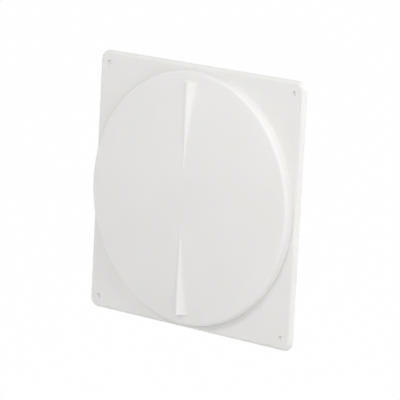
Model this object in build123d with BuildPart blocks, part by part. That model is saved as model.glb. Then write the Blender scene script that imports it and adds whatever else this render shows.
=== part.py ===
from build123d import *
from math import asin, cos, radians, sin, sqrt, tan
import os

# Ventilation disc valve for a wall, millimetres.
# The wall face is y = 0, the room is towards -Y and the duct runs towards +Y. +Z is up.
# The origin is on the duct's axis, in the plane of the wall.
# A height is a distance from the wall into the room, so a negative height lies in the duct.

# Clearances
slip_gap = 0.1            # between fixed pieces that are pushed together
running_gap = 0.05        # radial, between a screw, spindle or washer and its bore
rest_gap = 0.3            # soft or moving pieces that all but touch when the valve is closed
rim_gap = 0.4             # hairline between the closed disc and the plate

# Square wall plate
plate_side = 240.0
plate_height = 4.5
plate_wall = 2.2
plate_corner_r = 9.0
plate_edge_r = 3.6
wall_screw_inset = 11.0
wall_screw_hole_r = 2.25
wall_screw_boss_r = 5.0
plate_rib_wall = 1.4

# Duct spigot, neck, seat and gasket
spigot_r = 79.0
spigot_wall = 1.0
spigot_length = 38.0
spigot_hem = 5.0
neck_wall = 2.5
neck_length = 14.0
mouth_r = 2.0
seat_lip_width = 3.0
seat_lip_height = 1.2
neck_shoulder = 0.8       # step down from the spigot's radius to the plate's collar behind the gasket
gasket_width = 17.0
gasket_rim_wall = 1.5

# Rivets between the neck and the spigot
rivet_count = 4
rivet_head_r = 3.0
rivet_head_height = 1.1
rivet_depth = 7.0

# Disc
disc_r = 115.4
disc_draft = 2.5          # degrees that the rim leans in
disc_rim_height = 8.6
disc_edge_r = 3.0
disc_dome_rise = 7.0
disc_wall = 2.0
hub_r = 20.5
boss_r = 3.8
boss_circle_r = 60.0
boss_count = 6

# Grip ridge: a level crest across the dome, with hollow flanks that flare towards its ends
ridge_inset = 9.8         # ridge's ends inside the disc's base
ridge_drop = 0.45         # crest below the dome's apex
ridge_end_half_width = 14.5
ridge_start_half_width = 1.0
ridge_crest_half_width = 0.9
ridge_crown = 0.37        # rise of the rounded crest for each millimetre of its half width
ridge_sink = 0.05         # toes run this deep under the dome's skin
ridge_root = 1.2          # how deep the ridge is rooted in the wall of the disc
ridge_steps = 3

# Insulation, its cover and the seal
cover_recess = 3.6        # cover's underside above the rim's edge
cover_wall = 1.0
cover_inset = 8.4         # cover's edge inside the disc's base
cover_lip = 2.6
seal_width = 9.5

# Screw spindle
spindle_r = 6.0
spindle_flange_r = 20.0
spindle_flange_wall = 3.0
spindle_pilot_r = 9.2
spindle_pilot_height = 2.5
spindle_screw_circle_r = 15.6
spindle_screw_count = 3
spindle_groove = 1.4
spindle_tail = 2.5
hub_stand = 0.5           # hub's seat below the cover's underside
valve_travel = 18.0

# Bridge and nut
arm_count = 4
arm_width = 9.0
arm_wall = 3.5
arm_rib_wall = 2.5
arm_rib_rise = 3.5
bridge_hub_r = 15.5
bridge_hub_depth = 10.0   # front of the hub behind the wall's face
bridge_hub_length = 12.0
bridge_hub_lip = 1.5      # wall in front of the nut's pocket
foot_r = 6.0
foot_gap = 0.9            # between a foot and the bore of the neck
nut_flats = 20.0          # across the flats of the nut's hexagonal body
nut_flange_r = 14.0
nut_flange_wall = 3.0
nut_collar_r = 8.5
nut_collar_rise = 1.8
nut_ring_r = 12.5
nut_ring_wall = 1.0
nut_ring_teeth = 6
nut_ring_notch = 1.2

# Spring, slip washer and stops
spring_wire_r = 0.65
spring_coil_r = 9.3
spring_half_turns = 8
seat_washer_r = 12.2
seat_washer_wall = 1.5
seat_collar_r = 8.0
seat_collar_rise = 1.5
stop_washer_r = 10.0
stop_washer_wall = 1.5
clip_r = 9.0
clip_wall = 1.2
clip_band = 2.4
clip_lug = 2.6
clip_mouth = 70.0         # degrees of the clip's open side

# Screws
screw_r = 1.6
screw_bite = 6.0          # length of thread in the plastic
screw_head_r = 2.7
screw_head_height = 2.0
foot_screw_head_r = 3.3
foot_screw_head_height = 2.2
pilot_spare = 1.0         # pilot holes are this much deeper than their screws

# Sizes that follow from the ones above
hole_spacing = plate_side - 2 * wall_screw_inset
web_back = plate_height - plate_wall
neck_r = spigot_r - spigot_wall - slip_gap
bore_r = neck_r - neck_wall
seat_r = bore_r + mouth_r
seat_top = plate_height + seat_lip_height
collar_r = spigot_r - neck_shoulder
foot_circle_r = bore_r - foot_gap - foot_r
gasket_r = spigot_r + rest_gap
gasket_outer_r = gasket_r + gasket_width

rim_base = plate_height + rim_gap
edge_height = rim_base + disc_rim_height
apex_height = edge_height + disc_dome_rise
dome_r = (disc_r**2 + disc_dome_rise**2) / (2 * disc_dome_rise)
dome_centre = apex_height - dome_r
crest_height = apex_height - ridge_drop
ridge_half_length = disc_r - ridge_inset

cover_back = rim_base + cover_recess
cover_front = cover_back + cover_wall
cover_r = disc_r - cover_inset
seal_back = seat_top + rest_gap
hub_back = cover_back - hub_stand
flange_back = hub_back - spindle_flange_wall
seat_washer_front = flange_back - slip_gap
seat_washer_back = seat_washer_front - seat_washer_wall

bridge_front = -bridge_hub_depth
bridge_back = bridge_front - bridge_hub_length
pocket_front = bridge_front - bridge_hub_lip
nut_back = bridge_back - nut_flange_wall
foot_front = -neck_length
foot_back = foot_front - arm_wall
stop_front = nut_back - valve_travel - rest_gap
clip_front = stop_front - stop_washer_wall
clip_back = clip_front - clip_wall
groove_r = spindle_r - spindle_groove
pilot_r = screw_r + running_gap
rivet_seat = sqrt(bore_r**2 - rivet_head_r**2)
wire_back = bridge_front + nut_ring_wall + slip_gap + spring_wire_r
wire_front = seat_washer_back - slip_gap - spring_wire_r

# Half section: x is the distance from the duct's axis, y is the height
section = Plane(origin=(0, 0, 0), x_dir=(1, 0, 0), z_dir=(0, 0, -1))


def facing(height):
    """Plane that faces the room at a height."""
    return Plane.XZ.offset(height)


def radial(angle):
    """Half section turned about the duct's axis to an angle in degrees."""
    across = cos(radians(angle))
    up = sin(radians(angle))
    return Plane(origin=(0, 0, 0), x_dir=(across, 0, up), z_dir=(up, 0, -across))


def dome_height(r, depth=0.0):
    """Height of the disc's dome at a radius, or of a skin at a depth under it."""
    return dome_centre + sqrt((dome_r - depth)**2 - r**2)


def turned(*points):
    """Solid turned about the duct's axis from corners given as (radius, height)."""
    with BuildSketch(section) as half:
        with BuildLine():
            Polyline(*points, close=True)
        make_face()
    revolve(half.sketch, axis=Axis.Y)


def ring(inner, outer, low, high):
    """Plain ring between two heights."""
    turned((inner, low), (outer, low), (outer, high), (inner, high))


def pillars(low, high, r, circle_r, count, mode=Mode.ADD):
    """Round pillars or holes on a circle, between two heights."""
    with BuildSketch(facing(low)) as rounds:
        with PolarLocations(circle_r, count):
            Circle(r)
    extrude(rounds.sketch, amount=high - low, mode=mode)


def pan_screws(seat, length, head_r, head_height, circle_r, count):
    """Pan-head screws put in from the duct's side, with their heads against a seat."""
    pillars(seat, seat + length, screw_r, circle_r, count)
    pillars(seat - head_height, seat, head_r, circle_r, count)


def rivets(low, high, r, mode=Mode.ADD):
    """Round pins or holes that point away from the duct's axis, between two distances from it."""
    for number in range(rivet_count):
        turn = (number + 0.5) * 360 / rivet_count
        across = cos(radians(turn))
        up = sin(radians(turn))
        with BuildSketch(Plane(origin=(low * across, rivet_depth, low * up), z_dir=(across, 0, up))) as pin:
            Circle(r)
        extrude(pin.sketch, amount=high - low, mode=mode)


def finish(name, shape):
    shape.label = name
    export_step(shape, f"parts/{name}.step")


os.makedirs("parts", exist_ok=True)

# Wall plate: rolled square front, seat lip, neck and the bosses for the bridge, in one moulding
with BuildPart() as plate_hollow:
    with BuildSketch(facing(0)):
        hollow_side = plate_side - 2 * plate_wall
        RectangleRounded(hollow_side, hollow_side, plate_corner_r - plate_wall)
    extrude(amount=web_back)
    fillet(plate_hollow.edges().group_by(Axis.Y)[0], plate_edge_r - plate_wall)

with BuildPart() as wall_plate:
    with BuildSketch(facing(0)):
        RectangleRounded(plate_side, plate_side, plate_corner_r)
    extrude(amount=plate_height)
    fillet(wall_plate.edges().group_by(Axis.Y)[0], plate_edge_r)
    add(plate_hollow.part, mode=Mode.SUBTRACT)
    with BuildSketch(facing(0)):
        Circle(gasket_outer_r + gasket_rim_wall)
        with GridLocations(hole_spacing, hole_spacing, 2, 2):
            Circle(wall_screw_boss_r)
        for turn in (0, 90):
            with Locations(Rotation(0, 0, turn)):
                Rectangle(plate_side - plate_wall, plate_rib_wall)
        for turn in (45, 135):
            with Locations(Rotation(0, 0, turn)):
                Rectangle(hole_spacing * sqrt(2), plate_rib_wall)
        Circle(gasket_outer_r, mode=Mode.SUBTRACT)
    extrude(amount=web_back)
    pillars(0, plate_height, seat_r, 0, 1, Mode.SUBTRACT)
    with BuildSketch(section):
        with BuildLine():
            Polyline((bore_r, plate_height - mouth_r), (bore_r, -neck_length), (neck_r, -neck_length),
                     (neck_r, 0), (collar_r, 0), (collar_r, web_back), (seat_r + seat_lip_width, plate_height),
                     (seat_r + seat_lip_width, seat_top), (seat_r, seat_top), (seat_r, plate_height))
            RadiusArc((seat_r, plate_height), (bore_r, plate_height - mouth_r), -mouth_r)
        make_face()
    revolve(axis=Axis.Y)
    with BuildSketch(facing(foot_front)):
        with PolarLocations(foot_circle_r, arm_count):
            Circle(foot_r)
        with PolarLocations((foot_circle_r + neck_r) / 2, arm_count):
            Rectangle(neck_r - foot_circle_r, 2 * foot_r)
        Circle(bore_r + neck_wall / 2, mode=Mode.INTERSECT)
    extrude(amount=neck_length - mouth_r)
    pillars(foot_front, foot_front + screw_bite + pilot_spare, pilot_r, foot_circle_r, arm_count, Mode.SUBTRACT)
    rivets(bore_r - mouth_r, neck_r + mouth_r, pilot_r, Mode.SUBTRACT)
    with Locations(facing(web_back)):
        with GridLocations(hole_spacing, hole_spacing, 2, 2):
            Hole(wall_screw_hole_r)
finish("wall_plate", wall_plate.part)

# Duct spigot: steel tube with its end hemmed inwards
with BuildPart() as duct_spigot:
    ring(spigot_r - spigot_wall, spigot_r, -spigot_length, 0)
    ring(spigot_r - 2 * spigot_wall, spigot_r - spigot_wall, -spigot_length, -spigot_length + spigot_hem)
    rivets(bore_r, spigot_r + mouth_r, pilot_r, Mode.SUBTRACT)
finish("duct_spigot", duct_spigot.part)

with BuildPart() as spigot_rivets:
    rivets(rivet_seat, spigot_r - slip_gap, screw_r)
    rivets(rivet_seat - rivet_head_height, rivet_seat, rivet_head_r)
finish("spigot_rivets", spigot_rivets.part)

with BuildPart() as wall_gasket:
    ring(gasket_r, gasket_outer_r, 0, web_back)
finish("wall_gasket", wall_gasket.part)

# Bridge: hub with a hexagonal pocket, on four ribbed arms that end in screwed feet
with BuildPart() as spindle_bridge:
    pillars(bridge_back, bridge_front, bridge_hub_r, 0, 1)
    with BuildSketch(facing(foot_back)):
        with PolarLocations(foot_circle_r, arm_count):
            Circle(foot_r)
        with PolarLocations(foot_circle_r / 2, arm_count):
            Rectangle(foot_circle_r, arm_width)
    extrude(amount=arm_wall)
    for arm in range(arm_count):
        rib_end = foot_circle_r - foot_r
        with BuildSketch(radial(arm * 360 / arm_count)):
            with BuildLine():
                Polyline((0, foot_front + arm_rib_rise), (bridge_hub_r, foot_front + arm_rib_rise),
                         (rib_end, foot_front), (rib_end, foot_back), (bridge_hub_r, foot_back - arm_rib_rise),
                         (0, foot_back - arm_rib_rise), close=True)
            make_face()
        extrude(amount=arm_rib_wall / 2, both=True)
    with BuildSketch(facing(bridge_back)):
        RegularPolygon(nut_flats / 2 + running_gap, 6, major_radius=False)
    extrude(amount=bridge_hub_length - bridge_hub_lip, mode=Mode.SUBTRACT)
    pillars(pocket_front, bridge_front, nut_collar_r + running_gap, 0, 1, Mode.SUBTRACT)
    pillars(foot_back, foot_front, pilot_r, foot_circle_r, arm_count, Mode.SUBTRACT)
finish("spindle_bridge", spindle_bridge.part)

with BuildPart() as bridge_screws:
    pan_screws(foot_back, arm_wall + screw_bite, foot_screw_head_r, foot_screw_head_height, foot_circle_r, arm_count)
finish("bridge_screws", bridge_screws.part)

with BuildPart() as spindle_nut:
    pillars(nut_back, bridge_back, nut_flange_r, 0, 1)
    chamfer(spindle_nut.edges().group_by(Axis.Y)[-1], nut_flange_wall / 4)
    with BuildSketch(facing(bridge_back)):
        RegularPolygon(nut_flats / 2, 6, major_radius=False)
    extrude(amount=bridge_hub_length - bridge_hub_lip)
    pillars(pocket_front, bridge_front + nut_collar_rise, nut_collar_r, 0, 1)
    pillars(nut_back, bridge_front + nut_collar_rise, spindle_r + running_gap, 0, 1, Mode.SUBTRACT)
finish("spindle_nut", spindle_nut.part)

# Push-on ring: notches in its bore leave the teeth that grip the nut's collar
with BuildPart() as nut_ring:
    ring(nut_collar_r + running_gap, nut_ring_r, bridge_front, bridge_front + nut_ring_wall)
    with BuildSketch(facing(bridge_front)):
        with PolarLocations(nut_collar_r, nut_ring_teeth):
            Rectangle(2 * nut_ring_notch, nut_ring_notch)
    extrude(amount=nut_ring_wall, mode=Mode.SUBTRACT)
finish("nut_ring", nut_ring.part)

# One half of the grip ridge: sections across it, from where it leaves the dome to its square end
with BuildPart() as ridge_half:
    ridge_start = sqrt(dome_r**2 - (crest_height - dome_centre)**2)
    for step in range(ridge_steps + 1):
        share = step / ridge_steps
        reach = ridge_start + share * (ridge_half_length - ridge_start)
        half_width = ridge_start_half_width + share * (ridge_end_half_width - ridge_start_half_width)
        crest = min(ridge_crest_half_width, half_width / 4)
        shoulder = crest_height - ridge_crown * crest
        toe = dome_height(sqrt(reach**2 + half_width**2)) - ridge_sink
        flank_r = ((half_width - crest)**2 + (shoulder - toe)**2) / (2 * (shoulder - toe))
        half_turn = asin((half_width - crest) / flank_r) / 2
        middle = half_width - flank_r * sin(half_turn)
        middle_height = toe + flank_r * (1 - cos(half_turn))
        with BuildSketch(section.offset(-reach)):
            with BuildLine():
                ThreePointArc((-half_width, toe), (-middle, middle_height), (-crest, shoulder))
                ThreePointArc((-crest, shoulder), (0, crest_height), (crest, shoulder))
                ThreePointArc((crest, shoulder), (middle, middle_height), (half_width, toe))
                Polyline((half_width, toe), (half_width, toe - ridge_root), (-half_width, toe - ridge_root),
                         (-half_width, toe))
            make_face()
    loft()

# Disc: domed shell with a leaning rim, the ridge, the hub for the spindle and the bosses for the cover
with BuildPart() as valve_disc:
    corner_r = disc_r - disc_rim_height * tan(radians(disc_draft))
    inner_r = corner_r - disc_wall
    with BuildSketch(section):
        with BuildLine():
            ThreePointArc((0, apex_height), (corner_r / 2, dome_height(corner_r / 2)), (corner_r, dome_height(corner_r)))
            Polyline((corner_r, dome_height(corner_r)), (disc_r, rim_base), (disc_r - disc_wall, rim_base),
                     (inner_r, dome_height(inner_r, disc_wall)))
            ThreePointArc((inner_r, dome_height(inner_r, disc_wall)), (inner_r / 2, dome_height(inner_r / 2, disc_wall)),
                          (0, apex_height - disc_wall))
            Line((0, apex_height - disc_wall), (0, apex_height))
        make_face()
    revolve(axis=Axis.Y)
    round_edges = valve_disc.edges().filter_by(GeomType.CIRCLE)
    fillet(round_edges.sort_by(lambda edge: abs(edge.radius - corner_r))[0], disc_edge_r)
    add(ridge_half.part)
    mirror(ridge_half.part, about=Plane.XY)
    pillars(hub_back, dome_height(hub_r, disc_wall / 2), hub_r, 0, 1)
    pillars(hub_back, dome_height(spindle_pilot_r, disc_wall), spindle_pilot_r + slip_gap, 0, 1, Mode.SUBTRACT)
    pillars(hub_back, hub_back + screw_bite + pilot_spare, pilot_r, spindle_screw_circle_r, spindle_screw_count,
            Mode.SUBTRACT)
    pillars(cover_front, dome_height(boss_circle_r + boss_r, disc_wall / 2), boss_r, boss_circle_r, boss_count)
    pillars(cover_front, cover_front + screw_bite - pilot_spare, pilot_r, boss_circle_r, boss_count, Mode.SUBTRACT)
finish("valve_disc", valve_disc.part)

# Insulation: foam pad under the dome, its thin dished cover and the foam seal glued to the cover
with BuildPart() as insulation_pad:
    pad_r = cover_r - cover_wall - slip_gap
    pad_depth = disc_wall + rest_gap
    with BuildSketch(section):
        with BuildLine():
            Polyline((hub_r + rest_gap, dome_height(hub_r + rest_gap, pad_depth)), (hub_r + rest_gap, cover_front),
                     (pad_r, cover_front), (pad_r, dome_height(pad_r, pad_depth)))
            ThreePointArc((pad_r, dome_height(pad_r, pad_depth)), (pad_r / 2, dome_height(pad_r / 2, pad_depth)),
                          (hub_r + rest_gap, dome_height(hub_r + rest_gap, pad_depth)))
        make_face()
    revolve(axis=Axis.Y)
    pillars(cover_front, apex_height, boss_r + rest_gap, boss_circle_r, boss_count, Mode.SUBTRACT)
finish("insulation_pad", insulation_pad.part)

with BuildPart() as insulation_cover:
    turned((hub_r + slip_gap, cover_back), (cover_r, cover_back), (cover_r, cover_back + cover_lip),
           (cover_r - cover_wall, cover_back + cover_lip), (cover_r - cover_wall, cover_front),
           (hub_r + slip_gap, cover_front))
    pillars(cover_back, cover_front, pilot_r, boss_circle_r, boss_count, Mode.SUBTRACT)
finish("insulation_cover", insulation_cover.part)

with BuildPart() as cover_screws:
    pan_screws(cover_back, cover_wall + screw_bite - 2 * pilot_spare, screw_head_r, screw_head_height,
               boss_circle_r, boss_count)
finish("cover_screws", cover_screws.part)

with BuildPart() as disc_seal:
    seal_r = seat_r + (seat_lip_width - seal_width) / 2
    ring(seal_r, seal_r + seal_width, seal_back, cover_back)
finish("disc_seal", disc_seal.part)

# Spindle: flange and pilot that seat in the disc's hub, screw stem, clip groove and tail
with BuildPart() as spindle:
    tail_back = clip_back - spindle_tail
    turned((0, hub_back + spindle_pilot_height), (spindle_pilot_r, hub_back + spindle_pilot_height),
           (spindle_pilot_r, hub_back), (spindle_flange_r, hub_back), (spindle_flange_r, flange_back),
           (spindle_r, flange_back), (spindle_r, clip_front), (groove_r, clip_front), (groove_r, clip_back),
           (spindle_r, clip_back), (spindle_r, tail_back + spindle_groove), (groove_r, tail_back), (0, tail_back))
    pillars(flange_back, hub_back, pilot_r, spindle_screw_circle_r, spindle_screw_count, Mode.SUBTRACT)
finish("spindle", spindle.part)

with BuildPart() as spindle_screws:
    pan_screws(flange_back, spindle_flange_wall + screw_bite, screw_head_r, screw_head_height,
               spindle_screw_circle_r, spindle_screw_count)
finish("spindle_screws", spindle_screws.part)

with BuildPart() as spring_seat:
    turned((spindle_r + running_gap, seat_washer_front), (seat_washer_r, seat_washer_front),
           (seat_washer_r, seat_washer_back), (seat_collar_r, seat_washer_back),
           (seat_collar_r, seat_washer_back - seat_collar_rise),
           (spindle_r + running_gap, seat_washer_back - seat_collar_rise))
finish("spring_seat", spring_seat.part)

# Spring: wound between the push-on ring and the slip washer, each half turn an arc that leans by its rise
with BuildPart() as tension_spring:
    rise = (wire_front - wire_back) / spring_half_turns
    for half in range(spring_half_turns):
        side = (-1)**half
        height = wire_back + half * rise
        with BuildSketch(Plane(origin=(side * spring_coil_r, -height, 0), z_dir=(0, 0, 1))) as wire:
            Circle(spring_wire_r)
        lean = Axis((0, -height - rise / 2, 0), (side * rise, -2 * spring_coil_r, 0))
        revolve(wire.sketch, axis=lean, revolution_arc=180)
finish("tension_spring", tension_spring.part)

with BuildPart() as stop_washer:
    ring(spindle_r + running_gap, stop_washer_r, clip_front, stop_front)
finish("stop_washer", stop_washer.part)

# Stop clip: open ring with three lugs that reach into the spindle's groove
with BuildPart() as stop_clip:
    with BuildSketch(facing(clip_back)):
        Circle(clip_r)
        Circle(clip_r - clip_band, mode=Mode.SUBTRACT)
        with BuildLine():
            reach_x = 2 * clip_r * sin(radians(clip_mouth / 2))
            reach_y = 2 * clip_r * cos(radians(clip_mouth / 2))
            Polyline((0, 0), (-reach_x, -reach_y), (reach_x, -reach_y), close=True)
        make_face(mode=Mode.SUBTRACT)
        lug_length = clip_r - clip_band / 2 - groove_r - running_gap
        with PolarLocations(groove_r + running_gap + lug_length / 2, 3, start_angle=90):
            Rectangle(lug_length, clip_lug)
    extrude(amount=clip_wall)
finish("stop_clip", stop_clip.part)
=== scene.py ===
from math import asin, cos, pi, radians, sin, sqrt, tan

import bmesh
import bpy
from mathutils import Matrix, Quaternion, Vector, noise
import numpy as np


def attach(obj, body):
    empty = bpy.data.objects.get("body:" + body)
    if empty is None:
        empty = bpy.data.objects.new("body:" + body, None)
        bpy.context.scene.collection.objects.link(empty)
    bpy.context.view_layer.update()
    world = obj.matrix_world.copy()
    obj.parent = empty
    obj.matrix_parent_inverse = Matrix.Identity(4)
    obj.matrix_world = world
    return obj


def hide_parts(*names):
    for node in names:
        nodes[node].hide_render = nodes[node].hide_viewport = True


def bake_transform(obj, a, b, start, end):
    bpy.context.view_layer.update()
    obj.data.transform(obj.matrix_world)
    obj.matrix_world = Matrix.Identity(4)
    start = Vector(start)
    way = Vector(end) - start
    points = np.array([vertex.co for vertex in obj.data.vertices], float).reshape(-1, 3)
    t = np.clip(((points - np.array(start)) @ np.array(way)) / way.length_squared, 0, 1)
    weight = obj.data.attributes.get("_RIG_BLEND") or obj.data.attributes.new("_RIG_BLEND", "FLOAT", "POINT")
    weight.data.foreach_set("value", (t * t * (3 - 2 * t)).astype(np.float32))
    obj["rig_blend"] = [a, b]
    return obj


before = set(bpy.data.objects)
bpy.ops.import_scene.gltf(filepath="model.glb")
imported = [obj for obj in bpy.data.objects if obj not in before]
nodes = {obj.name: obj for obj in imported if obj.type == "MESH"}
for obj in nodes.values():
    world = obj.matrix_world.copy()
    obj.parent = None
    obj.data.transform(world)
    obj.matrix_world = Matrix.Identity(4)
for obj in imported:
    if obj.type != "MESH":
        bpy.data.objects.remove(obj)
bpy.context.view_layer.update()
scene = bpy.context.scene
mm = 0.001

print("frame loaded:", len(nodes), "nodes")

cameraSetup = {
    "place": (1.74512, -2.04970, 0.48183),
    "aim": (0.00422, 0.0, -0.00178),
    "rollDegrees": 2.988,  # the photograph leans a little to the left
    "lens": 274.04,
    "sensor": 36,
    "clip": (0.05, 60),
}


def placeCamera(setup):
    data = bpy.data.cameras.new("photoCamera")
    camera = bpy.data.objects.new("photoCamera", data)
    scene.collection.objects.link(camera)
    look = Vector(setup["aim"]) - Vector(setup["place"])
    camera.location = setup["place"]
    camera.rotation_mode = "QUATERNION"
    roll = Quaternion((0, 0, 1), radians(setup["rollDegrees"]))
    camera.rotation_quaternion = look.to_track_quat("-Z", "Y") @ roll
    data.sensor_width = setup["sensor"]
    data.lens = setup["lens"]
    data.clip_start, data.clip_end = setup["clip"]
    scene.camera = camera


placeCamera(cameraSetup)
scene.view_settings.view_transform = "Standard"
print("camera placed")

studio = {
    "skyStrength": 0.52,  # soft light from all round
    "skyColor": (1.0, 0.995, 0.985),
    "floorHeight": -0.62,
    "floorSize": 40.0,
    "floorColor": (0.86, 0.86, 0.855),
    "floorGlow": 0.99,  # share of the floor that the eye sees as plain white
    "lampColor": (1.0, 0.997, 0.99),
}
lamps = {  # direction from the object, distance, size, power
    "sideSoftbox": {"from": (0.85, -0.21, 0.49), "distance": 1.1, "size": 0.7, "power": 3.45},
    "edgeSoftbox": {"from": (0.97, -0.05, -0.15), "distance": 1.4, "size": 0.6, "power": 1.3},
    "topLamp": {"from": (-0.06, -0.84, 0.54), "distance": 1.6, "size": 0.45, "power": 4.75},
    "highSoftbox": {"from": (0.12, -0.27, 0.95), "distance": 1.5, "size": 0.6, "power": 2.3},
    "frontSoftbox": {"from": (0.05, -0.98, 0.20), "distance": 2.2, "size": 1.2, "power": 3.2},
    "leftSoftbox": {"from": (-0.95, -0.28, 0.10), "distance": 1.6, "size": 0.8, "power": 1.4},
    "fillSoftbox": {"from": (0.66, -0.75, 0.05), "distance": 1.8, "size": 1.0, "power": 2.3},
    "backSoftbox": {"from": (0.48, 0.80, 0.36), "distance": 1.8, "size": 1.0, "power": 10.4},
}


def sightMask(tree):  # 1 for what the camera, a reflection or glass sees
    path = tree.nodes.new("ShaderNodeLightPath")
    seen = path.outputs["Is Camera Ray"]
    for ray in ("Is Glossy Ray", "Is Transmission Ray"):
        either = tree.nodes.new("ShaderNodeMath")
        either.operation = "MAXIMUM"
        tree.links.new(seen, either.inputs[0])
        tree.links.new(path.outputs[ray], either.inputs[1])
        seen = either.outputs[0]
    return seen


def makeSky(setup):
    world = bpy.data.worlds.new("softSky")
    world.use_nodes = True
    tree = world.node_tree
    tree.nodes.clear()
    soft = tree.nodes.new("ShaderNodeBackground")
    soft.inputs["Color"].default_value = (*setup["skyColor"], 1)
    soft.inputs["Strength"].default_value = setup["skyStrength"]
    white = tree.nodes.new("ShaderNodeBackground")
    white.inputs["Color"].default_value = (1, 1, 1, 1)
    white.inputs["Strength"].default_value = 1
    mix = tree.nodes.new("ShaderNodeMixShader")
    out = tree.nodes.new("ShaderNodeOutputWorld")
    tree.links.new(sightMask(tree), mix.inputs[0])
    tree.links.new(soft.outputs[0], mix.inputs[1])
    tree.links.new(white.outputs[0], mix.inputs[2])
    tree.links.new(mix.outputs[0], out.inputs["Surface"])
    scene.world = world


def makeFloor(setup):
    half = setup["floorSize"] / 2
    height = setup["floorHeight"]
    mesh = bpy.data.meshes.new("studioFloor")
    corners = [(-half, -half, height), (half, -half, height), (half, half, height), (-half, half, height)]
    mesh.from_pydata(corners, [], [(0, 1, 2, 3)])
    floor = bpy.data.objects.new("studioFloor", mesh)
    scene.collection.objects.link(floor)
    material = bpy.data.materials.new("studioFloor")
    material.use_nodes = True
    tree = material.node_tree
    tree.nodes.clear()
    paint = tree.nodes.new("ShaderNodeBsdfDiffuse")
    paint.inputs["Color"].default_value = (*setup["floorColor"], 1)
    glow = tree.nodes.new("ShaderNodeEmission")
    glow.inputs["Strength"].default_value = 1
    share = tree.nodes.new("ShaderNodeMath")
    share.operation = "MULTIPLY"
    share.inputs[1].default_value = setup["floorGlow"]
    mix = tree.nodes.new("ShaderNodeMixShader")
    out = tree.nodes.new("ShaderNodeOutputMaterial")
    tree.links.new(sightMask(tree), share.inputs[0])
    tree.links.new(share.outputs[0], mix.inputs[0])
    tree.links.new(paint.outputs[0], mix.inputs[1])
    tree.links.new(glow.outputs[0], mix.inputs[2])
    tree.links.new(mix.outputs[0], out.inputs["Surface"])
    mesh.materials.append(material)


def hangLamp(name, setup):
    data = bpy.data.lights.new(name, "AREA")
    data.shape = "DISK"
    data.size = setup["size"]
    data.energy = setup["power"]
    data.color = studio["lampColor"]
    lamp = bpy.data.objects.new(name, data)
    scene.collection.objects.link(lamp)
    away = Vector(setup["from"]).normalized()
    lamp.location = away * setup["distance"]
    lamp.rotation_euler = (-away).to_track_quat("-Z", "Y").to_euler()


makeSky(studio)
makeFloor(studio)
for lampName, lampSetup in lamps.items():
    hangLamp(lampName, lampSetup)
print("studio lit")


def newMaterial(name, color, roughness, metallic=0.0):  # viewers that can't read nodes show these values
    material = bpy.data.materials.new(name)
    material.use_nodes = True
    material.diffuse_color = (*color, 1)
    shader = material.node_tree.nodes["Principled BSDF"]
    shader.inputs["Base Color"].default_value = (*color, 1)
    shader.inputs["Roughness"].default_value = roughness
    shader.inputs["Metallic"].default_value = metallic
    return material, material.node_tree, shader


def objectPlace(tree, stretch=(1, 1, 1)):
    place = tree.nodes.new("ShaderNodeTexCoord")
    mapping = tree.nodes.new("ShaderNodeMapping")
    mapping.inputs["Scale"].default_value = stretch
    tree.links.new(place.outputs["Object"], mapping.inputs["Vector"])
    return mapping.outputs["Vector"]


def cloudy(tree, vector, scale, detail=3.0, roughness=0.5):
    cloud = tree.nodes.new("ShaderNodeTexNoise")
    cloud.inputs["Scale"].default_value = scale
    cloud.inputs["Detail"].default_value = detail
    cloud.inputs["Roughness"].default_value = roughness
    tree.links.new(vector, cloud.inputs["Vector"])
    return cloud.outputs["Fac"]


def rangeOf(tree, value, low, high, fromLow=0.3, fromHigh=0.7):
    spread = tree.nodes.new("ShaderNodeMapRange")
    spread.inputs["From Min"].default_value = fromLow
    spread.inputs["From Max"].default_value = fromHigh
    spread.inputs["To Min"].default_value = low
    spread.inputs["To Max"].default_value = high
    tree.links.new(value, spread.inputs["Value"])
    return spread.outputs["Result"]


def twoColors(tree, value, first, second):
    mix = tree.nodes.new("ShaderNodeMix")
    mix.data_type = "RGBA"
    mix.inputs["A"].default_value = (*first, 1)
    mix.inputs["B"].default_value = (*second, 1)
    tree.links.new(value, mix.inputs["Factor"])
    return mix.outputs["Result"]


def addBump(tree, shader, value, height, strength, before=None):
    bump = tree.nodes.new("ShaderNodeBump")
    bump.inputs["Distance"].default_value = height
    bump.inputs["Strength"].default_value = strength
    tree.links.new(value, bump.inputs["Height"])
    if before is not None:
        tree.links.new(before, bump.inputs["Normal"])
    tree.links.new(bump.outputs["Normal"], shader.inputs["Normal"])
    return bump.outputs["Normal"]


def patchyTone(tree, shader, place, look):
    tone = rangeOf(tree, cloudy(tree, place, *look["toneCloud"]), 0.0, 1.0)
    tree.links.new(twoColors(tree, tone, *look["tones"]), shader.inputs["Base Color"])


def unevenSheen(tree, shader, place, look):
    sheen = rangeOf(tree, cloudy(tree, place, *look["sheenCloud"]), *look["roughness"])
    tree.links.new(sheen, shader.inputs["Roughness"])


def cloudBump(tree, shader, place, bump, before=None):
    cloud = cloudy(tree, place, *bump["cloud"])
    return addBump(tree, shader, cloud, bump["height"], bump["strength"], before)


# A cloud below is (scale, detail) or (scale, detail, roughness) of a noise

# White ABS mouldings: fine satin grain, faint flow of tone, a slightly uneven sheen
mouldingLook = {
    "tones": ((0.800, 0.796, 0.786), (0.776, 0.772, 0.760)),
    "toneCloud": (16.0, 4.0),
    "roughness": (0.44, 0.55),
    "sheenCloud": (120.0, 3.0),
    "plainRoughness": 0.4,
    "refraction": 1.5,
    "glow": 0.25,  # white plastic lets a little light through at its edges
    "glowReach": (0.0014, 0.0013, 0.0011),
    "wave": {"cloud": (42.0, 2.0), "height": 0.00006, "strength": 0.6},
    "grain": {"cloud": (1500.0, 2.0), "height": 0.00002, "strength": 0.5},
}


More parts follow.
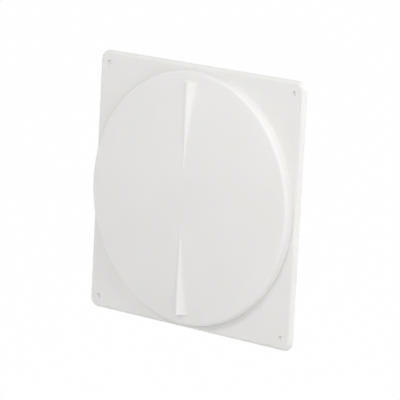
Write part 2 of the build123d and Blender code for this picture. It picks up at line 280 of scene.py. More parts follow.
def makeMoulding(name, look):
    material, tree, shader = newMaterial(name, look["tones"][0], look["plainRoughness"])
    place = objectPlace(tree)
    patchyTone(tree, shader, place, look)
    unevenSheen(tree, shader, place, look)
    shader.inputs["IOR"].default_value = look["refraction"]
    shader.inputs["Subsurface Weight"].default_value = look["glow"]
    shader.inputs["Subsurface Radius"].default_value = look["glowReach"]
    wave = cloudBump(tree, shader, place, look["wave"])
    cloudBump(tree, shader, place, look["grain"], wave)
    return material


# Vacuum-formed sheet of the cover: duller, with the soft waves that forming leaves
sheetLook = {
    "tones": ((0.74, 0.738, 0.725), (0.70, 0.698, 0.685)),
    "toneCloud": (40.0, 4.0, 0.6),
    "roughness": (0.48, 0.62),
    "sheenCloud": (300.0, 3.0),
    "plainRoughness": 0.55,
    "wave": {"cloud": (60.0, 2.0), "height": 0.0004, "strength": 0.35},
}


def makeFormedSheet(name, look):
    material, tree, shader = newMaterial(name, look["tones"][0], look["plainRoughness"])
    place = objectPlace(tree)
    patchyTone(tree, shader, place, look)
    unevenSheen(tree, shader, place, look)
    cloudBump(tree, shader, place, look["wave"])
    return material


# Nylon and acetal: creamy, waxy, with a trace of glow at thin edges
nylonGrain = {
    "toneCloud": (90.0, 5.0, 0.6),
    "sheenCloud": (500.0, 3.0),
    "plainRoughness": 0.45,
    "glowReach": (0.004, 0.0035, 0.0025),
    "grain": {"cloud": (1800.0, 2.0), "height": 0.00003, "strength": 0.5},
}
nylonLooks = {
    "bridgeNylon": {"tones": ((0.70, 0.695, 0.655), (0.655, 0.65, 0.605)), "roughness": (0.42, 0.56),
                    "glow": 0.12},
    "spindleAcetal": {"tones": ((0.76, 0.745, 0.68), (0.72, 0.70, 0.63)), "roughness": (0.28, 0.4),
                      "glow": 0.15},
    "nutNylon": {"tones": ((0.022, 0.022, 0.024), (0.034, 0.034, 0.036)), "roughness": (0.34, 0.5),
                 "glow": 0.0},
}


def makeNylon(name, look):
    material, tree, shader = newMaterial(name, look["tones"][0], look["plainRoughness"])
    place = objectPlace(tree)
    patchyTone(tree, shader, place, look)
    unevenSheen(tree, shader, place, look)
    shader.inputs["Subsurface Weight"].default_value = look["glow"]
    shader.inputs["Subsurface Radius"].default_value = look["glowReach"]
    cloudBump(tree, shader, place, look["grain"])
    return material


# Hot-dip zinc: interlocking crystal flakes, each with its own tone and gloss
zincLook = {
    "flakes": 130.0,
    "stretch": (1, 0.8, 1),
    "tones": ((0.66, 0.68, 0.70), (0.44, 0.455, 0.475)),
    "roughness": (0.24, 0.48),
    "plainRoughness": 0.35,
    "bendCloud": (260.0, 3.0),
    "bendReach": 0.004,
    "seam": {"width": 0.06, "height": 0.00002, "strength": 0.4},
    "grain": {"cloud": (900.0, 4.0), "height": 0.00003, "strength": 0.35},
}


def makeGalvanised(name, look):
    material, tree, shader = newMaterial(name, look["tones"][0], look["plainRoughness"], 1.0)
    place = objectPlace(tree, look["stretch"])
    bend = cloudy(tree, place, *look["bendCloud"])
    shift = tree.nodes.new("ShaderNodeVectorMath")
    shift.operation = "MULTIPLY_ADD"
    spread = tree.nodes.new("ShaderNodeCombineXYZ")
    for axis in range(3):
        tree.links.new(bend, spread.inputs[axis])
    shift.inputs[1].default_value = (look["bendReach"],) * 3
    tree.links.new(spread.outputs[0], shift.inputs[0])
    tree.links.new(place, shift.inputs[2])
    flakes = tree.nodes.new("ShaderNodeTexVoronoi")
    edges = tree.nodes.new("ShaderNodeTexVoronoi")
    edges.feature = "DISTANCE_TO_EDGE"
    for cells in (flakes, edges):
        cells.inputs["Scale"].default_value = look["flakes"]
        tree.links.new(shift.outputs[0], cells.inputs["Vector"])
    tint = tree.nodes.new("ShaderNodeSeparateColor")
    tree.links.new(flakes.outputs["Color"], tint.inputs[0])
    tone = rangeOf(tree, tint.outputs[0], 0.0, 1.0, 0.0, 1.0)
    tree.links.new(twoColors(tree, tone, *look["tones"]), shader.inputs["Base Color"])
    gloss = rangeOf(tree, tint.outputs[1], *look["roughness"], 0.0, 1.0)
    tree.links.new(gloss, shader.inputs["Roughness"])
    groove = rangeOf(tree, edges.outputs["Distance"], 0.0, 1.0, 0.0, look["seam"]["width"])
    seam = addBump(tree, shader, groove, look["seam"]["height"], look["seam"]["strength"])
    cloudBump(tree, shader, place, look["grain"], seam)
    return material


# Plain metals: a drawn or plated surface, with handling dulling it in patches
metalGrain = {
    "toneCloud": (320.0, 5.0, 0.6),
    "sheenCloud": (700.0, 4.0),
    "plainRoughness": 0.3,
    "grain": {"cloud": (2200.0, 3.0), "height": 0.00002, "strength": 0.4},
}
metalLooks = {
    "zincPlate": {"tones": ((0.70, 0.705, 0.70), (0.50, 0.50, 0.485)), "roughness": (0.2, 0.42),
                  "stretch": (1, 1, 1)},
    "springSteel": {"tones": ((0.40, 0.405, 0.42), (0.22, 0.21, 0.205)), "roughness": (0.24, 0.46),
                    "stretch": (1, 5, 1)},
    "rivetAluminium": {"tones": ((0.78, 0.785, 0.79), (0.60, 0.605, 0.61)), "roughness": (0.26, 0.44),
                       "stretch": (1, 1, 1)},
}


def makeMetal(name, look):
    material, tree, shader = newMaterial(name, look["tones"][0], look["plainRoughness"], 1.0)
    place = objectPlace(tree, look["stretch"])
    patchyTone(tree, shader, place, look)
    unevenSheen(tree, shader, place, look)
    cloudBump(tree, shader, place, look["grain"])
    return material


# Closed-cell sponge: round pores over a soft, dusty skin, with painted shade darkening the hollow middle of
# each pore
spongeGrain = {
    "poreRim": (0.05, 0.5),
    "poreStrength": 0.5,
    "roughness": (0.86, 0.97),
    "sheenCloud": (400.0, 3.0),
    "plainRoughness": 0.92,
    "dust": 0.25,
    "dustRoughness": 0.5,
    "skin": {"cloud": (3200.0, 3.0), "height": 0.00008, "strength": 0.4},
}
# top is the sponge's own colour; pit is a painted shade for the hollows of the pores
spongeLooks = {
    "spongeRubber": {"top": (0.060, 0.060, 0.063), "paintedPitShade": (0.018, 0.018, 0.019), "pores": 1500.0,
                     "depth": 0.00025},
    "insulationFoam": {"top": (0.26, 0.27, 0.285), "paintedPitShade": (0.12, 0.125, 0.135), "pores": 900.0,
                       "depth": 0.0004},
}


def makeSponge(name, look):
    material, tree, shader = newMaterial(name, look["top"], look["plainRoughness"])
    place = objectPlace(tree)
    pores = tree.nodes.new("ShaderNodeTexVoronoi")
    pores.inputs["Scale"].default_value = look["pores"]
    tree.links.new(place, pores.inputs["Vector"])
    rim = rangeOf(tree, pores.outputs["Distance"], 0.0, 1.0, *look["poreRim"])
    # painted shade: the hollow middle of each pore takes the darker pit colour, by the same mask as the bump
    tree.links.new(twoColors(tree, rim, look["paintedPitShade"], look["top"]), shader.inputs["Base Color"])
    unevenSheen(tree, shader, place, look)
    shader.inputs["Sheen Weight"].default_value = look["dust"]
    shader.inputs["Sheen Roughness"].default_value = look["dustRoughness"]
    cells = addBump(tree, shader, rim, look["depth"], look["poreStrength"])
    cloudBump(tree, shader, place, look["skin"], cells)
    return material


whiteAbs = makeMoulding("whiteAbs", mouldingLook)
formedSheet = makeFormedSheet("formedSheet", sheetLook)
nylons = {name: makeNylon(name, {**nylonGrain, **look}) for name, look in nylonLooks.items()}
galvanised = makeGalvanised("galvanisedSheet", zincLook)
metals = {name: makeMetal(name, {**metalGrain, **look}) for name, look in metalLooks.items()}
sponges = {name: makeSponge(name, {**spongeGrain, **look}) for name, look in spongeLooks.items()}
print("materials made")


def dress(node, material):  # a node that keeps its own solid gets the finish
    part = nodes[node]
    part.data.materials.clear()
    part.data.materials.append(material)


def at(r, turn, height):  # distance from the axis, angle, height from the wall into the room, in mm
    return Vector((r * cos(turn), -height, r * sin(turn))) * mm


def joined(*shapes):  # several (corners, faces) as one
    corners = []
    faces = []
    for extra, more in shapes:
        faces += [tuple(i + len(corners) for i in face) for face in more]
        corners += extra
    return corners, faces


meshClean = {"merge": 1e-6, "collapse": 1e-7}  # metres: nearer corners are one, shorter edges go


def cleanShape(shape):
    bmesh.ops.remove_doubles(shape, verts=shape.verts, dist=meshClean["merge"])
    bmesh.ops.dissolve_degenerate(shape, edges=shape.edges, dist=meshClean["collapse"])
    bmesh.ops.recalc_face_normals(shape, faces=shape.faces)


def shapeMesh(name, corners, faces, sharp=35.0):
    mesh = bpy.data.meshes.new(name)
    mesh.from_pydata([tuple(c) for c in corners], [], faces)
    shape = bmesh.new()
    shape.from_mesh(mesh)
    cleanShape(shape)
    shape.to_mesh(mesh)
    shape.free()
    mesh.shade_smooth()
    mesh.set_sharp_from_angle(angle=radians(sharp))
    return mesh


def addPiece(mesh, material, body, slotName, *stands):
    piece = bpy.data.objects.new(mesh.name, mesh)
    scene.collection.objects.link(piece)
    mesh.materials.clear()
    mesh.materials.append(material)
    if body:
        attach(piece, body)
    if stands:
        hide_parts(*stands)
    return piece


def lathe(profile, steps, closed=True):  # (radius, height) corners turned about the duct's axis
    count = len(profile)
    corners = [at(r, 2 * pi * k / steps, h) for k in range(steps) for r, h in profile]
    faces = []
    for k in range(steps):
        here = k * count
        there = (k + 1) % steps * count
        for n in range(count if closed else count - 1):
            after = (n + 1) % count
            faces.append((here + n, there + n, there + after, here + after))
    return corners, faces


def softCorners(profile, radius, steps=2):  # the corners of a closed outline, each rounded
    outline = []
    count = len(profile)
    mostOfSide = 0.45
    for n in range(count):
        corner = Vector(profile[n])
        first = Vector(profile[n - 1]) - corner
        second = Vector(profile[(n + 1) % count]) - corner
        reach = min(radius, first.length * mostOfSide, second.length * mostOfSide)
        start = corner + first.normalized() * reach
        end = corner + second.normalized() * reach
        for k in range(steps + 1):
            t = k / steps
            outline.append(tuple(start * (1 - t) ** 2 + corner * 2 * t * (1 - t) + end * t * t))
    return outline


# Broken edges: where a solid's faces meet at more than an angle, a narrow round takes the edge's place
edgeBreak = {"merge": 2e-6, "collapse": 1e-6, "flat": 1.0, "sharp": 30.0, "segments": 2, "profile": 0.5,
             "smooth": 40.0}


def softenedCopy(node, name, width, material, body, slotName):
    mesh = nodes[node].data.copy()
    mesh.name = name
    shape = bmesh.new()
    shape.from_mesh(mesh)
    bmesh.ops.remove_doubles(shape, verts=shape.verts, dist=edgeBreak["merge"])
    bmesh.ops.dissolve_degenerate(shape, edges=shape.edges, dist=edgeBreak["collapse"])
    flat, sharp = radians(edgeBreak["flat"]), radians(edgeBreak["sharp"])
    bmesh.ops.dissolve_limit(shape, angle_limit=flat, verts=shape.verts, edges=shape.edges)
    keen = [e for e in shape.edges if len(e.link_faces) == 2 and e.calc_face_angle() > sharp]
    bmesh.ops.bevel(shape, geom=keen, offset=width * mm, segments=edgeBreak["segments"],
                    profile=edgeBreak["profile"], affect="EDGES", clamp_overlap=True)
    cleanShape(shape)
    shape.to_mesh(mesh)
    shape.free()
    mesh.shade_smooth()
    mesh.set_sharp_from_angle(angle=radians(edgeBreak["smooth"]))
    return addPiece(mesh, material, body, slotName, node)


dress("wall_plate", whiteAbs)
dress("insulation_cover", formedSheet)
dress("duct_spigot", galvanised)
print("plate, cover and spigot dressed")

# Disc: the dome and its grip ridge are one skin, with rows that follow the ridge and its square ends
discShape = {
    "radius": 115.4, "draft": 2.5, "base": 4.9, "foot": 4.58, "edge": 13.5, "rise": 7.0, "edgeRadius": 3.0,
    "wall": 2.0, "wallDepth": 8.0,
    "ridgeEnd": 105.6, "ridgeDrop": 0.2, "ridgeWide": 10.5, "ridgeNarrow": 0.8, "ridgeFlare": 0.7,
    "crestHalf": 1.3, "crown": 0.3, "crestShift": 1.0, "cutRound": 0.35, "cutLength": 0.5, "ridgeTurn": 0.3,
    "hubRadius": 20.5, "hubBack": 8.0, "hubBore": 9.3, "boreEnd": 11.3,
}
discGrid = {
    "crest": 4, "flank": 14, "side": 26, "middleRows": 7, "ridgeRows": 34, "cutRows": 3, "outerRows": 2,
    "edgeRows": 8, "undersideRows": (95, 75, 55, 35, 22.5),
    "crowd": 0.45,  # how much the lines beside the ridge crowd towards it
    "cornerFade": 3,  # a square row is round again after a third of the way round
    # past the ridge's end: distance, squareness of the row, share of the ridge that is left
    "pastEnd": ((0.02, 1.0, 0.55), (0.04, 1.0, 0.2), (0.12, 1.0, 0.05), (0.3, 1.0, 0.0), (1.6, 0.75, 0.0),
                (3.4, 0.35, 0.0)),
}


def domeRadius():
    shape = discShape
    return (shape["radius"] ** 2 + shape["rise"] ** 2) / (2 * shape["rise"])


def domeHeight(r, depth=0.0):
    radius = domeRadius()
    return discShape["edge"] + discShape["rise"] - radius + sqrt((radius - depth) ** 2 - r ** 2)


def ridgeSizes(along):  # the ridge's toe, crest and rise at a distance from the middle
    shape = discShape
    apex = shape["edge"] + shape["rise"]
    start = sqrt(2 * domeRadius() * shape["ridgeDrop"] - shape["ridgeDrop"] ** 2)
    if along <= start:
        toe = shape["ridgeNarrow"] * max(along, 0.001) / start
        return toe, toe / 4, 0.0
    share = (along - start) / (shape["ridgeEnd"] - start)
    spread = (1 - shape["ridgeFlare"]) * share + shape["ridgeFlare"] * share ** 2  # it flares towards its end
    toe = shape["ridgeNarrow"] + spread * (shape["ridgeWide"] - shape["ridgeNarrow"])
    rise = apex - shape["ridgeDrop"] - domeHeight(along)
    return toe, min(shape["crestHalf"], toe / 4), rise


def ridgeRise(across, along):  # how far the ridge stands above the dome
    toe, crest, rise = ridgeSizes(along)
    if rise <= 0 or across >= toe:
        return 0.0
    crown = min(discShape["crown"] * crest, rise * 0.3)
    shoulder = rise - crown
    if across <= crest:
        return rise - crown * (across / crest) ** 2
    flank = ((toe - crest) ** 2 + shoulder ** 2) / (2 * shoulder)
    return flank - sqrt(flank ** 2 - (toe - across) ** 2)


def discSkin():
    shape = discShape
    grid = discGrid
    quarter = grid["crest"] + grid["flank"] + grid["side"]
    lines = 4 * quarter
    domeR = domeRadius()
    start = sqrt(2 * domeR * shape["ridgeDrop"])
    end = shape["ridgeEnd"]
    turn = radians(shape["ridgeTurn"])  # the screw stops with the ridge a hair off upright

    # the centre of the rolled edge between dome and rim, found in steps from a first guess
    lean = radians(shape["draft"])
    centreH = shape["edge"] - shape["edgeRadius"]
    for _ in range(30):
        centreR = shape["radius"] - (centreH - shape["base"]) * tan(lean) - shape["edgeRadius"] / cos(lean)
        centreH = domeHeight(0) - domeR + sqrt((domeR - shape["edgeRadius"]) ** 2 - centreR ** 2)
    firstTurn = pi / 2 - asin(centreR / (domeR - shape["edgeRadius"]))

    # rows: distance along the ridge, squareness of the row, drop of the ridge, share of the ridge kept
    rows = [(start * (k / grid["middleRows"]), 0.0, 0.0, 1.0) for k in range(1, grid["middleRows"] + 1)]
    cutStart = end - shape["cutLength"]
    for k in range(1, grid["ridgeRows"] + 1):
        t = k / grid["ridgeRows"]
        rows.append((start + (cutStart - start) * t, t ** 3, 0.0, 1.0))
    for k in range(1, grid["cutRows"] + 1):
        a = k / grid["cutRows"] * pi / 2
        rows.append((cutStart + shape["cutLength"] * sin(a), 1.0, shape["cutRound"] * (1 - cos(a)), 1.0))
    rows += [(end + past, square, 0.0, left) for past, square, left in grid["pastEnd"]]

    def rowRing(along, square, drop, keep):
        ring = []
        toe, crest, _ = ridgeSizes(min(along, end))
        for line in range(lines):
            part, q = divmod(line, quarter)
            if part % 2:
                q = quarter - q
            if q <= grid["crest"]:
                across = crest * q / grid["crest"]
            elif q <= grid["crest"] + grid["flank"]:
                across = crest + (toe - crest) * ((q - grid["crest"]) / grid["flank"])
            else:
                across = None
            if across is not None:
                roundZ = sqrt(max(along ** 2 - across ** 2, 0))
                z = square * along + (1 - square) * roundZ
                x = across
            else:
                toeRound = sqrt(max(along ** 2 - toe ** 2, 0))
                toeZ = square * along + (1 - square) * toeRound
                toeR = sqrt(toe ** 2 + toeZ ** 2)
                firstAngle = asin(min(toe / toeR, 1))
                t = (q - grid["crest"] - grid["flank"]) / grid["side"]
                crowded = (1 - grid["crowd"]) * t + grid["crowd"] * t * t
                angle = firstAngle + (pi / 2 - firstAngle) * crowded
                r = along + (toeR - along) * max(0.0, 1 - grid["cornerFade"] * t) ** 2
                x = r * sin(angle)
                z = r * cos(angle)
            height = domeHeight(sqrt(x * x + z * z))
            if across is not None:
                lift = ridgeRise(across, min(along, end))
                height += max(0.0, lift - drop) * keep
            x *= 1 if part < 2 else -1
            z *= 1 if part in (0, 3) else -1
            if across is not None:  # the crest lies a little to the left of the middle, the toes don't
                grown = min(toe / (shape["ridgeWide"] / 2), 1)
                x -= shape["crestShift"] * (1 - across / toe) * grown
            ring.append((x * cos(turn) - z * sin(turn), height, z * cos(turn) + x * sin(turn)))
        return ring

    rings = [rowRing(*row) for row in rows]
    spin = [(Vector((x, z)).normalized()) for x, h, z in rings[-1]]

    # round rows: out to the rim, the rolled edge, the rim, its foot, the underside and the hub
    outline = []
    topR = centreR + shape["edgeRadius"] * cos(firstTurn)
    lastR = rows[-1][0]
    for k in range(1, grid["outerRows"] + 1):
        r = lastR + (topR - lastR) * k / (grid["outerRows"] + 1)
        outline.append((r, domeHeight(r)))
    for k in range(grid["edgeRows"] + 1):
        a = firstTurn + (lean - firstTurn) * k / grid["edgeRows"]
        outline.append((centreR + shape["edgeRadius"] * cos(a), centreH + shape["edgeRadius"] * sin(a)))
    radius, wall, base, foot = shape["radius"], shape["wall"], shape["base"], shape["foot"]
    outline += [(radius - 3 * tan(lean), base + 3), (radius - 0.02, base + 0.3), (radius - 0.06, foot + 0.08),
                (radius - 0.2, foot), (radius - wall + 0.35, foot), (radius - wall, foot + 0.3)]
    inner = radius - wall - shape["wallDepth"] * tan(lean)
    corner = domeHeight(inner, wall)
    outline += [(inner, corner - 1.0), (inner - 0.4, corner - 0.2)]
    outline += [(r, domeHeight(r, wall)) for r in (inner - 1.5, *grid["undersideRows"])]
    hub, back, bore, bottom = shape["hubRadius"], shape["hubBack"], shape["hubBore"], shape["boreEnd"]
    outline += [(hub, domeHeight(hub, wall) - 0.8), (hub, back + 0.4), (hub - 0.1, back + 0.1),
                (hub - 0.4, back), (bore + 0.3, back), (bore, back + 0.3), (bore, bottom - 0.3),
                (bore - 0.3, bottom)]
    rings += [[(u.x * r, h, u.y * r) for u in spin] for r, h in outline]

    corners = [Vector((x, -h, z)) * mm for ring in rings for x, h, z in ring]
    faces = []
    for n in range(len(rings) - 1):
        for k in range(lines):
            a = n * lines + k
            b = n * lines + (k + 1) % lines
            faces.append((a, b, b + lines, a + lines))
    middle = len(corners)
    corners.append(Vector((0, -domeHeight(0), 0)) * mm)
    under = len(corners)
    corners.append(Vector((0, -shape["boreEnd"], 0)) * mm)
    last = (len(rings) - 1) * lines
    for k in range(lines):
        after = (k + 1) % lines
        faces.append((middle, after, k))
        faces.append((under, last + k, last + after))
    return corners, faces


discMesh = shapeMesh("discMoulding", *discSkin(), sharp=38)
addPiece(discMesh, whiteAbs, "disc", "white_moulding", "valve_disc")
print("disc built:", len(discMesh.polygons), "faces")

# Soft rings: the gasket behind the plate and the seal under the disc, cut from closed-cell sponge
softRings = {
    "wallGasket": {"node": "wall_gasket", "body": "mount_frame", "inner": 79.3, "outer": 96.3, "low": 0.0,
                   "high": 2.3, "round": 0.5, "uneven": 0.10, "seed": 3.0},
    "discSeal": {"node": "disc_seal", "body": "disc", "inner": 74.15, "outer": 83.65, "low": 6.0, "high": 8.5,
                 "round": 0.7, "uneven": 0.12, "seed": 11.0},
}
ringGrid = {"steps": 220, "sharp": 60, "dips": 160}


def cutRing(name, ring):
    low, high, inner, outer = ring["low"], ring["high"], ring["inner"], ring["outer"]
    third = (outer - inner) / 3
    section = [(inner, low), (inner + third, low), (outer - third, low), (outer, low),
               (outer, high), (outer - third, high), (inner + third, high), (inner, high)]
    outline = softCorners(section, ring["round"])
    mesh = shapeMesh(name, *lathe(outline, ringGrid["steps"]), sharp=ringGrid["sharp"])
    centre = Vector((0, -(low + high) / 2 * mm, 0))
    for vertex in mesh.vertices:  # the skin of cut sponge is never quite flat, and only ever shrinks inwards
        out = vertex.co - centre
        flat = Vector((out.x, 0, out.z))
        middle = flat.normalized() * (inner + outer) / 2 * mm
        inward = Vector((middle.x - flat.x, -out.y, middle.z - flat.z)).normalized()
        dip = noise.noise(vertex.co * ringGrid["dips"] + Vector((ring["seed"], 0, 0))) * 0.5 + 0.5
        vertex.co += inward * dip * ring["uneven"] * mm
    piece = addPiece(mesh, sponges["spongeRubber"], ring["body"], "grey_sponge", ring["node"])


for ringName, ringSetup in softRings.items():
    cutRing(ringName, ringSetup)

# Foam pad: fills the dome between the disc and its cover, with holes for the hub and the six bosses
padEdge = 0.6
padFoam = sponges["insulationFoam"]
padPiece = softenedCopy("insulation_pad", "insulationPad", padEdge, padFoam, "disc", "foam_pad")
print("soft rings and pad cut")

# Thread section: share of the pitch, share of the thread's depth
threadForm = [(0.0, 0.0), (0.18, 0.0), (0.36, 0.82), (0.43, 1.0), (0.57, 1.0), (0.64, 0.82), (0.82, 0.0)]


def helixThread(root, crest, lead, starts, low, high, turnSteps, runOut):
    pitch = lead / starts
    perPitch = len(threadForm)
    shift = starts * perPitch
    first = int((low - lead) / pitch) - 1
    last = int((high + lead) / pitch) + 2
    corners = []
    rows = (last - first) * perPitch
    for k in range(turnSteps):
        for n in range(rows):
            share, lift = threadForm[n % perPitch]
            height = (first + n // perPitch + share) * pitch + lead * k / turnSteps
            inside = min(max(height, low), high)
            fade = min(1.0, max(0.0, (inside - low) / runOut), max(0.0, (high - inside) / runOut))
            corners.append(at(root + (crest - root) * lift * fade, 2 * pi * k / turnSteps, inside))
    faces = []
    for k in range(turnSteps):
        for n in range(rows - 1):
            if k < turnSteps - 1:
                faces.append((k * rows + n, (k + 1) * rows + n, (k + 1) * rows + n + 1, k * rows + n + 1))
            elif n + 1 + shift < rows:
                faces.append((k * rows + n, n + shift, n + 1 + shift, k * rows + n + 1))
    return corners, faces


# Spindle: acetal screw with a coarse two-start thread, its flange bolted to the disc's hub
spindleShape = {
    "crest": 6.0, "root": 4.9, "lead": 6.0, "starts": 2, "threadLow": -42.6, "threadHigh": 2.4, "runOut": 1.2,
    "steps": 48,
    # (radius, height) from the thread's two ends to the axis: the flange in front, the tail behind
    "flange": [(4.9, 3.4), (6.0, 3.9), (6.0, 4.6), (6.5, 5.0), (13.0, 5.0), (19.2, 5.0), (19.75, 5.15),
               (20.0, 5.5), (20.0, 7.5), (19.8, 7.9), (19.4, 8.0), (9.2, 8.0), (9.2, 10.1), (8.8, 10.5),
               (0.0, 10.5)],
    "tail": [(4.9, -43.3), (5.7, -43.6), (5.7, -44.75), (4.6, -44.8), (4.6, -46.0), (5.9, -46.05),
             (6.0, -46.4), (6.0, -47.1), (5.7, -47.6), (4.7, -48.4), (4.3, -48.5), (1.6, -48.5),
             (1.2, -48.1), (1.0, -46.5), (0.0, -46.0)],
}


def makeSpindle(shape):
    root, low, high, steps = shape["root"], shape["threadLow"], shape["threadHigh"], shape["steps"]
    thread = helixThread(root, shape["crest"], shape["lead"], shape["starts"], low, high, steps,
                         shape["runOut"])
    front = lathe([(root, high)] + shape["flange"], steps, closed=False)
    back = lathe([(root, low)] + shape["tail"], steps, closed=False)
    mesh = shapeMesh("screwSpindle", *joined(thread, front, back), sharp=32)
    addPiece(mesh, nylons["spindleAcetal"], "disc", "natural_acetal", "spindle")


makeSpindle(spindleShape)

# Screws: zinc-plated pan heads with a cross recess and a coarse thread for plastic
screwSets = {
    "bridgeScrews": {"node": "bridge_screws", "body": "mount_frame", "seat": -17.5, "circle": 68.5,
                     "count": 4, "headRadius": 3.3, "headHeight": 2.2, "length": 9.5},
    "coverScrews": {"node": "cover_screws", "body": "disc", "seat": 8.5, "circle": 60.0, "count": 6,
                    "headRadius": 2.7, "headHeight": 2.0, "length": 5.0},
    "spindleScrews": {"node": "spindle_screws", "body": "disc", "seat": 5.0, "circle": 15.6, "count": 3,
                      "headRadius": 2.7, "headHeight": 2.0, "length": 9.0},
}
screwForm = {
    "shank": 1.6, "core": 1.15, "pitch": 1.34, "threadStart": 0.25, "point": 0.9, "runOut": 0.5, "steps": 24,
    "recessHalf": 1.45, "recessBar": 0.42, "recessDepth": 1.3, "armTaper": 0.45, "barTaper": 0.8,
    "firstTwist": 0.7, "twistStep": 1.9,  # no two screws stop at the same angle
}


def makeScrewMesh(name, screw, form):
    radius, height, core, steps = screw["headRadius"], screw["headHeight"], form["core"], form["steps"]
    threadStart = form["threadStart"]
    threadEnd = screw["length"] - form["point"]
    dome = [(0.0, -height), (radius * 0.5, -height + 0.05), (radius * 0.76, -height + 0.22),
            (radius * 0.93, -height * 0.62), (radius, -height * 0.36), (radius, -0.12), (radius - 0.12, 0.0),
            (form["shank"] + 0.25, 0.0), (core, threadStart)]
    point = [(core, threadEnd), (core * 0.7, screw["length"] - 0.3), (0.0, screw["length"])]
    thread = helixThread(core, form["shank"], form["pitch"], 1, threadStart, threadEnd, steps, form["runOut"])
    head = lathe(dome, steps, closed=False)
    tip = lathe(point, steps, closed=False)
    body = shapeMesh(name, *joined(head, thread, tip))

    half, bar = form["recessHalf"], form["recessBar"]
    cross = [(bar, bar), (bar, half), (-bar, half), (-bar, bar), (-half, bar), (-half, -bar), (-bar, -bar),
             (-bar, -half), (bar, -half), (bar, -bar), (half, -bar), (half, bar)]

    def taper(value):
        return value * (form["armTaper"] if abs(value) > bar else form["barTaper"])

    above = height + 0.5
    bottom = height - form["recessDepth"]
    top = [Vector((x, above, z)) * mm for x, z in cross]
    floor = [Vector((taper(x), bottom, taper(z))) * mm for x, z in cross]
    count = len(cross)
    faces = [(k, (k + 1) % count, count + (k + 1) % count, count + k) for k in range(count)]
    faces += [tuple(range(count)), tuple(range(2 * count - 1, count - 1, -1))]
    return carve(body, shapeMesh(name + "Recess", top + floor, faces))


def carve(body, cutter):  # takes one mesh out of another
    first = bpy.data.objects.new("carveBody", body)
    second = bpy.data.objects.new("carveTool", cutter)
    scene.collection.objects.link(first)
    scene.collection.objects.link(second)
    cut = first.modifiers.new("cut", "BOOLEAN")
    cut.operation = "DIFFERENCE"
    cut.solver = "EXACT"
    cut.object = second
    bpy.context.view_layer.update()
    result = bpy.data.meshes.new_from_object(first.evaluated_get(bpy.context.evaluated_depsgraph_get()))
    bpy.data.objects.remove(first)
    bpy.data.objects.remove(second)
    bpy.data.meshes.remove(body)
    bpy.data.meshes.remove(cutter)
    return result


def copiesOf(name, single, places):  # one mesh with the single part at every place
    faces = [tuple(p.vertices) for p in single.polygons]
    copies = [([place @ v.co for v in single.vertices], faces) for place in places]
    bpy.data.meshes.remove(single)
    return shapeMesh(name, *joined(*copies), sharp=32)


for screwName, screw in screwSets.items():
    places = []
    for k in range(screw["count"]):
        turn = 2 * pi * k / screw["count"]
        twist = Matrix.Rotation(screwForm["firstTwist"] + screwForm["twistStep"] * k, 4, "Y")
        places.append(Matrix.Translation(at(screw["circle"], turn, screw["seat"])) @ twist)
    screwMesh = copiesOf(screwName, makeScrewMesh(screwName + "One", screw, screwForm), places)
    addPiece(screwMesh, metals["zincPlate"], screw["body"], "zinc_screw", screw["node"])
print("spindle and screws made")

# Blind rivets: domed heads in the bore, each with the broken end of its pin
rivetSet = {"count": 4, "depth": 7.0, "headSeat": 75.34, "headRadius": 3.0, "headHeight": 1.1, "shank": 1.6,
            "end": 78.9, "steps": 28}


def makeRivets(rivet):
    seat, top = rivet["headSeat"], rivet["headSeat"] - rivet["headHeight"]
    radius, shank, end = rivet["headRadius"], rivet["shank"], rivet["end"]
    outline = [(0.0, top + 0.35), (0.75, top + 0.3), (0.8, top + 0.75), (0.98, top + 0.75),
               (1.05, top + 0.12), (1.2, top), (1.9, top + 0.12), (radius - 0.4, top + 0.5),
               (radius - 0.05, top + 0.85), (radius, seat - 0.08), (radius - 0.1, seat), (shank, seat),
               (shank, end - 0.15), (shank - 0.15, end), (0.0, end)]
    single = shapeMesh("rivetOne", *lathe(outline, rivet["steps"], closed=False))
    places = []
    for k in range(rivet["count"]):
        turn = 2 * pi * (k + 0.5) / rivet["count"]
        # the outline was turned about the duct's axis, so it is tipped to point away from it
        out = Vector((cos(turn), 0, sin(turn)))
        tip = Vector((0, -1, 0)).rotation_difference(out).to_matrix().to_4x4()
        places.append(Matrix.Translation(Vector((0, rivet["depth"] * mm, 0))) @ tip)
    mesh = copiesOf("spigotRivets", single, places)
    addPiece(mesh, metals["rivetAluminium"], "mount_frame", "aluminium_rivet", "spigot_rivets")


makeRivets(rivetSet)

# Spring: wound closer at both ends, where it sits on the push-on ring and the slip washer
springShape = {"wire": 0.65, "coil": 9.3, "back": -8.25, "front": 2.65, "turns": 4.0, "closer": 0.12,
               "around": 14, "along": 56}


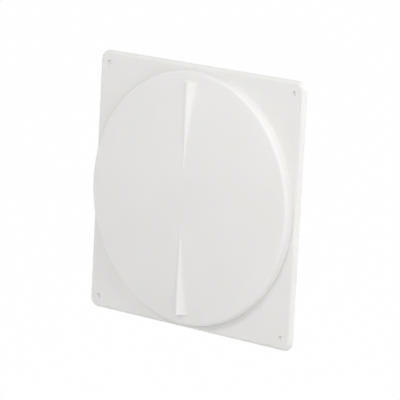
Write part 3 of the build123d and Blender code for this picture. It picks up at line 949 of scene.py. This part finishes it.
def makeSpring(spring):
    rings = int(spring["turns"] * spring["along"])
    around = spring["around"]
    corners = []
    for n in range(rings + 1):
        t = n / rings
        ease = t - spring["closer"] * sin(2 * pi * t)
        turn = 2 * pi * spring["turns"] * t
        height = spring["back"] + (spring["front"] - spring["back"]) * ease
        centre = at(spring["coil"], turn, height)
        out = Vector((cos(turn), 0, sin(turn)))
        for k in range(around):
            a = 2 * pi * k / around
            corners.append(centre + (out * cos(a) + Vector((0, -1, 0)) * sin(a)) * spring["wire"] * mm)
    faces = []
    for n in range(rings):
        for k in range(around):
            after = (k + 1) % around
            faces.append((n * around + k, n * around + after, (n + 1) * around + after, (n + 1) * around + k))
    for n in (0, rings):
        faces.append(tuple(n * around + k for k in range(around)))
    mesh = shapeMesh("tensionSpring", corners, faces, sharp=50)
    piece = addPiece(mesh, metals["springSteel"], None, "spring_steel", "tension_spring")
    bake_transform(piece, "mount_frame", "slip_washer", start=(0, 0.0083, 0), end=(0, -0.0027, 0))
    low, high = spring["back"] * -mm, spring["front"] * -mm
    weights = mesh.attributes["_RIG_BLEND"]
    for vertex in mesh.vertices:  # a whole section of wire moves as one, so the wire stays round
        first = vertex.index // around * around
        section = [v.co.y for v in mesh.vertices[first:first + around]]
        middle = sum(section) / len(section)
        weights.data[vertex.index].value = min(1.0, max(0.0, (middle - low) / (high - low)))


makeSpring(springShape)
print("rivets and spring made")

# Turned, moulded and stamped parts that keep their solids' form, with their edges broken
brokenEdges = {
    "spindleBridge": {"node": "spindle_bridge", "width": 0.45, "material": nylons["bridgeNylon"],
                      "body": "mount_frame", "slot": "white_nylon"},
    "spindleNut": {"node": "spindle_nut", "width": 0.3, "material": nylons["nutNylon"], "body": "mount_frame",
                   "slot": "black_nylon"},
    "pushOnRing": {"node": "nut_ring", "width": 0.15, "material": metals["springSteel"],
                   "body": "mount_frame", "slot": "spring_steel"},
    "slipWasher": {"node": "spring_seat", "width": 0.2, "material": metals["springSteel"],
                   "body": "slip_washer", "slot": "spring_steel"},
    "stopWasher": {"node": "stop_washer", "width": 0.2, "material": metals["zincPlate"], "body": "disc",
                   "slot": "zinc_screw"},
    "stopClip": {"node": "stop_clip", "width": 0.15, "material": metals["springSteel"], "body": "disc",
                 "slot": "spring_steel"},
}
for partName, part in brokenEdges.items():
    softenedCopy(part["node"], partName, part["width"], part["material"], part["body"], part["slot"])
print("small parts made")
